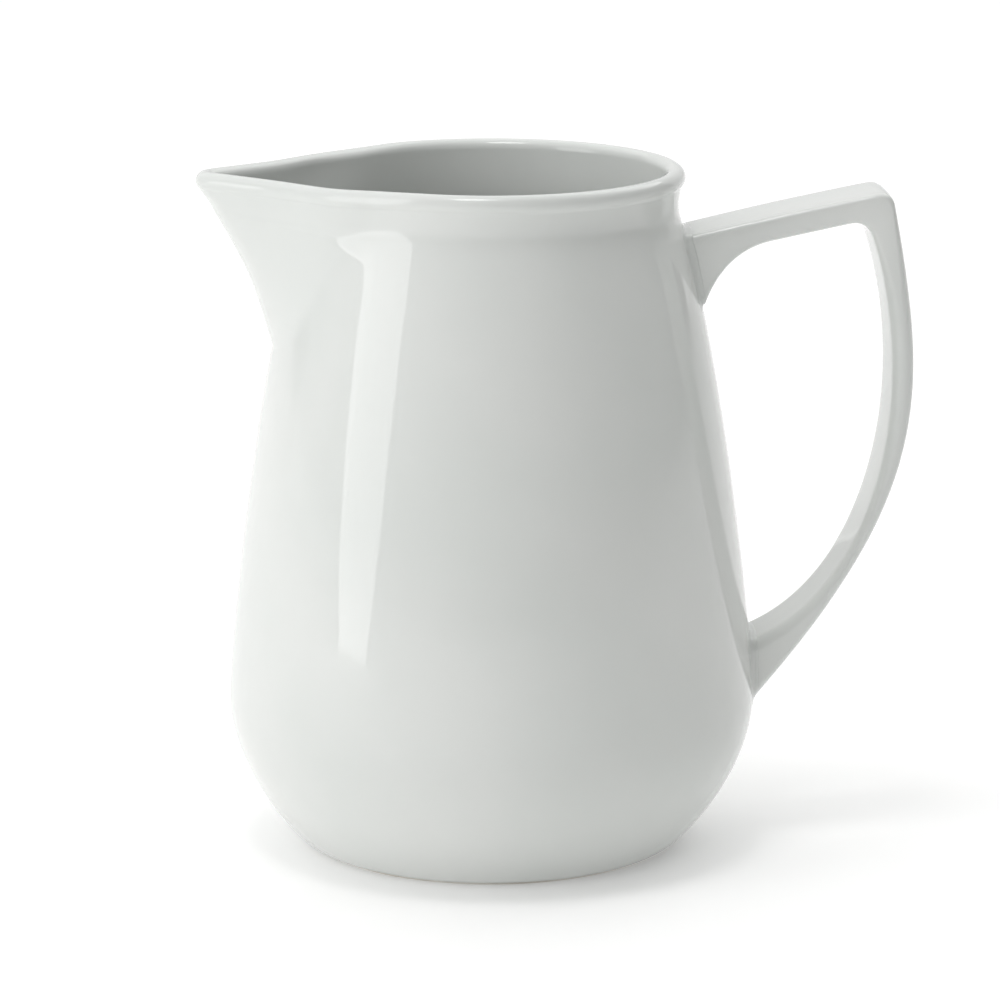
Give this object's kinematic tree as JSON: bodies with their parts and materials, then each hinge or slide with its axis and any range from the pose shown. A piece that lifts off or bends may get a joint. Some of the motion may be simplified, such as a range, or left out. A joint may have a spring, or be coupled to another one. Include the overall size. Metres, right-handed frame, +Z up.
{
  "type": "ceramic pitcher",
  "caption": "Small white glazed porcelain pitcher with a drawn-out pouring spout, a rolled rim and an angular strap handle.",
  "frame": {"origin": "centre of the foot, on the plane the pitcher stands on", "axes": "+Z up along the body's axis; +X towards the handle, -X towards the spout; the XZ plane is the plane of symmetry"},
  "size_m": [0.1357, 0.1008, 0.1306],
  "materials": {
    "glaze": "glossy transparent glaze over white porcelain, with a slight cool grey-green cast",
    "joint_glaze": "the same glaze, pooled a little thicker over the slip joints",
    "bare_foot": "bare fired porcelain, ground flat and matt"
  },
  "bodies": {
    "root": {"jug_body": "glaze", "handle": "glaze", "upper_joint_slip": "joint_glaze", "lower_joint_slip": "joint_glaze", "foot_ring": "bare_foot"}
  },
  "joints": []
}
